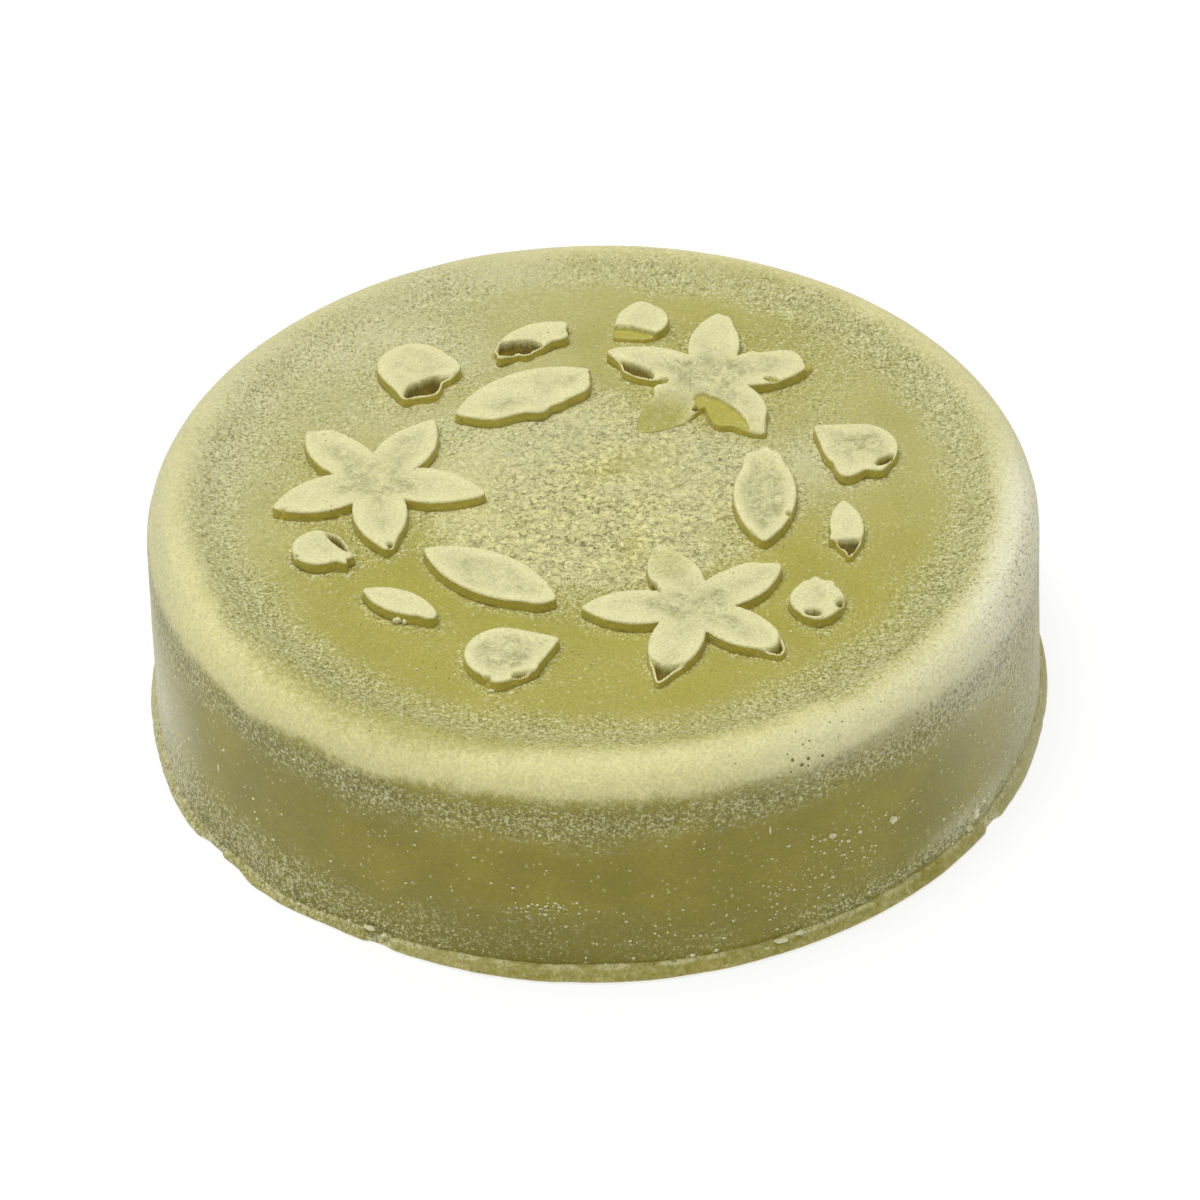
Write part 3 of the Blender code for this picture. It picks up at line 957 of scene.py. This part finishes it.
class Soap(Nodes):
    """A soap's masks, each under its own name, its grains, and the layers of its colour."""

    def __init__(self, material):
        super().__init__(material)
        self.where = self.place()
        for name in MASKS:
            setattr(self, name, self.add("Attribute", attribute_name=name).outputs["Fac"])
        self.broad = self.step(self.noise(self.where, 6.0, 3.0), 0.3, 0.7)
        self.medium = self.noise(self.where, 1.3, 3.0, 0.6)
        self.grain = self.noise(self.where, 0.24, 2.0, 0.6)
        self.lichen = self.noise(self.where, 0.5, 4.0, 0.68, 0.9)
        self.powder = self.noise(self.where, 0.29, 3.0, 0.66, 0.7)
        self.broken = self.times(self.minus(self.lichen, 0.5), 1.1)

    def clouded(self, colour, share):
        """A colour with clouds in it that are darker by a share."""
        return self.mix(self.step(self.medium, 0.3, 0.7), shaded(colour, share), colour)

    def plain(self):
        """Olive soap, darker down the wall, where its olive is partly painted shade, with painted shade over
        the wall's low front.
        """
        top = self.mix(self.broad, OLIVE, shaded(OLIVE, 1.08))
        side = self.mix(self.broad, shaded(WALL_OLIVE_AND_SHADE, 1.1), shaded(WALL_OLIVE_AND_SHADE, 0.9))
        colour = self.mix(self.wall, top, side)
        return self.mix(self.times(self.shade, 0.75), colour, shaded(WALL_OLIVE_AND_SHADE, 0.72))

    def dried(self, colour, cream_colour):
        """Cream whose edge the grain breaks up, dull patches in it, and golden soap where it is fresh."""
        dry = self.step(self.plus(self.cream, self.broken), 0.05, 0.95)
        colour = self.mix(dry, colour, self.clouded(cream_colour, 0.93))
        spotty = self.step(self.plus(self.medium, self.broken), 0.2, 0.8)
        colour = self.mix(self.times(self.mottle, spotty), colour, MOTTLED)
        return self.mix(self.golden, colour, self.clouded(GOLDEN, 0.85))

    def crusted(self, colour):
        """Pale flakes with dark gaps."""
        flaky = self.mix(self.step(self.medium, 0.32, 0.62), shaded(CREAM, 0.62), shaded(CREAM, 0.85))
        flaky = self.mix(self.step(self.lichen, 0.5, 0.6), flaky, FLAKE)
        flaky = self.mix(self.times(self.step(self.lichen, 0.46, 0.38), 0.85), flaky, GAP)
        return self.mix(self.step(self.plus(self.crust, self.broken), 0.1, 0.8), colour, flaky)

    def dusted(self, colour):
        """The blooms with their painted sheen and painted light, then light crystals and dark gaps, more of
        each where there is more dust.
        """
        cloudy = self.plus(0.62, self.times(self.broad, 0.25))
        colour = self.mix(self.times(self.veil, cloudy), colour, VEIL_AND_SHEEN)
        colour = self.mix(self.times(self.white, cloudy), colour, WHITE_AND_PAINTED_LIGHT)
        colour = self.mix(self.times(self.dust, 0.1), colour, DUST)
        more = self.times(self.dust, 0.08)
        crystal = self.step(self.plus(self.powder, more), 0.56, 0.64)
        crystal = self.times(crystal, self.step(self.dust, 0, 0.5))
        colour = self.mix(self.times(crystal, 0.68), colour, DUST)
        hole = self.step(self.minus(self.powder, more), 0.41, 0.34)
        hole = self.times(hole, self.step(self.dust, 0.05, 0.5))
        return self.mix(self.times(hole, 0.7), colour, GAP)

    def flecks(self):
        """Where the pale flecks are: scattered, with more of them in the dust."""
        dots = self.cells(self.bent(self.where, 0.3, 0.35), 0.5)
        chance = self.add("SeparateColor")
        self.feed(chance.inputs[0], dots.outputs["Color"])
        least = self.minus(0.8, self.times(self.dust, 0.45))
        chosen = self.math("GREATER_THAN", chance.outputs[0], least)
        fleck = self.times(self.step(dots.outputs["Distance"], 0.3, 0.18), chosen)
        return self.times(fleck, self.minus(1.0, self.deep))

    def bubbles(self):
        """Where the air bubbles are: thick where the soap is pitted and rare elsewhere."""
        rare = self.step(self.noise(self.where, 5.0, 1.0), 0.6, 0.66)
        size = self.plus(self.times(self.pitted, 0.13), self.times(rare, 0.11))
        return self.step(self.minus(size, self.cells(self.where, 0.7).outputs["Distance"]), 0.0, 0.035)


def soap_material(name, cream_colour=CREAM):
    """Olive cast soap: dried cream where it is proud, dusty crystals, flaky crust, flecks and air bubbles."""
    material = bpy.data.materials.new(name)
    material.use_nodes = True
    soap = Soap(material)
    fleck = soap.flecks()
    pit = soap.bubbles()

    colour = soap.dusted(soap.crusted(soap.dried(soap.plain(), cream_colour)))
    colour = soap.mix(soap.times(fleck, 0.44), colour, PALE_CREAM)
    grainy = soap.plus(0.88, soap.times(soap.step(soap.grain, 0.3, 0.7), 0.2))
    colour = soap.mix(1.0, colour, grainy, "MULTIPLY")
    # Painted shade in the hollows and at the feet of the motifs' sides, then in the air bubbles
    colour = soap.mix(soap.deep, colour, soap.clouded(shaded(DEEP_SHADE_OLIVE, 2), 0.5))
    colour = soap.mix(soap.times(pit, 0.85), colour, shaded(DEEP_SHADE_OLIVE, 2))

    dull = soap.math("MAXIMUM", soap.times(soap.dust, 0.6), soap.math("MAXIMUM", soap.cream, soap.crust))
    roughness = soap.plus(0.42, soap.times(dull, 0.2))
    roughness = soap.plus(roughness, soap.times(soap.minus(soap.grain, 0.5), 0.2))

    # Relief of the grain, the crystals, the flakes, the flecks and the bubbles
    crackle = soap.times(soap.lichen, soap.plus(0.05, soap.crust))
    crackle = soap.plus(crackle, soap.times(soap.powder, soap.plus(0.05, soap.dust)))
    rise = soap.plus(soap.times(soap.grain, 0.05), soap.times(crackle, 0.24))
    rise = soap.plus(rise, soap.times(fleck, 0.03))
    rise = soap.minus(rise, soap.times(pit, 0.12))
    bump = soap.add("Bump")
    bump.inputs["Strength"].default_value = 1.0
    bump.inputs["Distance"].default_value = MM
    soap.feed(bump.inputs["Height"], rise)

    shader = material.node_tree.nodes["Principled BSDF"]
    soap.feed(shader.inputs["Base Color"], colour)
    soap.feed(shader.inputs["Roughness"], roughness)
    soap.feed(shader.inputs["Normal"], bump.outputs[0])
    for name, value in SOAP_FINISH.items():
        shader.inputs[name].default_value = value
    return material


def plain_material(name, colour, roughness, glow=0.0):
    material = bpy.data.materials.new(name)
    material.use_nodes = True
    shader = material.node_tree.nodes["Principled BSDF"]
    shader.inputs["Base Color"].default_value = (*colour, 1.0)
    shader.inputs["Roughness"].default_value = roughness
    shader.inputs["Emission Color"].default_value = (1.0, 1.0, 1.0, 1.0)
    shader.inputs["Emission Strength"].default_value = glow
    return material


# ---- Floor, light and camera ----

CAMERA_ELEVATION = 37.63
CAMERA_DISTANCE = 0.40105
CAMERA_PITCH = 1.3705       # how far below the wreath's centre the camera looks
CAMERA_YAW = 0.0745
CAMERA_ROLL = 1.1136
CAMERA_LENS = 146.2


def build_stage():
    mesh = bpy.data.meshes.new("floor")
    size = 3.0
    corners = [(-size, -size, 0), (size, -size, 0), (size, size, 0), (-size, size, 0)]
    mesh.from_pydata(corners, [], [(0, 1, 2, 3)])
    mesh.materials.append(plain_material("floor_white", (0.3, 0.3, 0.3), 0.9, 0.74))
    floor = bpy.data.objects.new("floor", mesh)
    bpy.context.scene.collection.objects.link(floor)

    world = bpy.data.worlds.new("studio")
    world.use_nodes = True
    background = world.node_tree.nodes["Background"]
    background.inputs["Color"].default_value = (1.0, 1.0, 1.0, 1.0)
    background.inputs["Strength"].default_value = 0.25
    bpy.context.scene.world = world


def build_light():
    """A square softbox overhead that faces the puck."""
    light = bpy.data.lights.new("overhead", "AREA")
    light.size = 1.0
    light.energy = 15.0
    lamp = bpy.data.objects.new("overhead", light)
    bpy.context.scene.collection.objects.link(lamp)
    lamp.location = (-0.16, 0.02, 1.25)
    lamp.rotation_euler = (-lamp.location).to_track_quat("-Z", "Y").to_euler()


def build_camera(target_height):
    down = math.radians(CAMERA_ELEVATION)
    target = Vector((0, 0, target_height))
    place = target + CAMERA_DISTANCE * Vector((0, -math.cos(down), math.sin(down)))
    pitch = down + math.radians(CAMERA_PITCH)
    yaw = math.radians(CAMERA_YAW)
    ahead = Vector((math.sin(yaw) * math.cos(pitch), math.cos(yaw) * math.cos(pitch), -math.sin(pitch)))
    level = ahead.to_track_quat("-Z", "Y").to_matrix().to_4x4()
    data = bpy.data.cameras.new("camera")
    data.lens = CAMERA_LENS
    data.sensor_width = 36
    data.clip_start = 0.01
    camera = bpy.data.objects.new("camera", data)
    bpy.context.scene.collection.objects.link(camera)
    roll = Matrix.Rotation(-math.radians(CAMERA_ROLL), 4, "Z")
    camera.matrix_world = Matrix.Translation(place) @ level @ roll
    bpy.context.scene.camera = camera


def main():
    body, flash = (soap_material(name) for name in ("soap_body", "soap_flash"))
    relief = soap_material("soap_relief", RELIEF_CREAM)
    profile = Profile(body_profile())
    field_height = profile.line[0][1]
    kinds = ("flower", "large_leaf", "small_leaf", "large_petal", "small_petal")
    sides = ("left", "front", "back")
    outlines = {}
    for node in (f"{kind}_{side}" for kind in kinds for side in sides):
        loop, centre = motif_outline(node, OUTLINE_PITCH)
        outlines[node] = cast_outline(node, loop, centre), centre
    build_body(body, profile, [loop for loop, _ in outlines.values()])
    build_flash(flash, profile)
    for node, (loop, centre) in outlines.items():
        build_motif(node, loop, centre, relief, field_height)
    wall_crumbs, top_crumbs = all_crumbs(profile, field_height)
    crumbs = soap_material("soap_crumbs", CRUMB)
    build_crumbs("crumbs_wall", wall_crumbs, crumbs)
    build_crumbs("crumbs_top", top_crumbs, crumbs)
    build_stage()
    build_light()
    build_camera(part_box("flower_left")[1].z)
    bpy.context.scene.view_settings.view_transform = "Standard"


main()
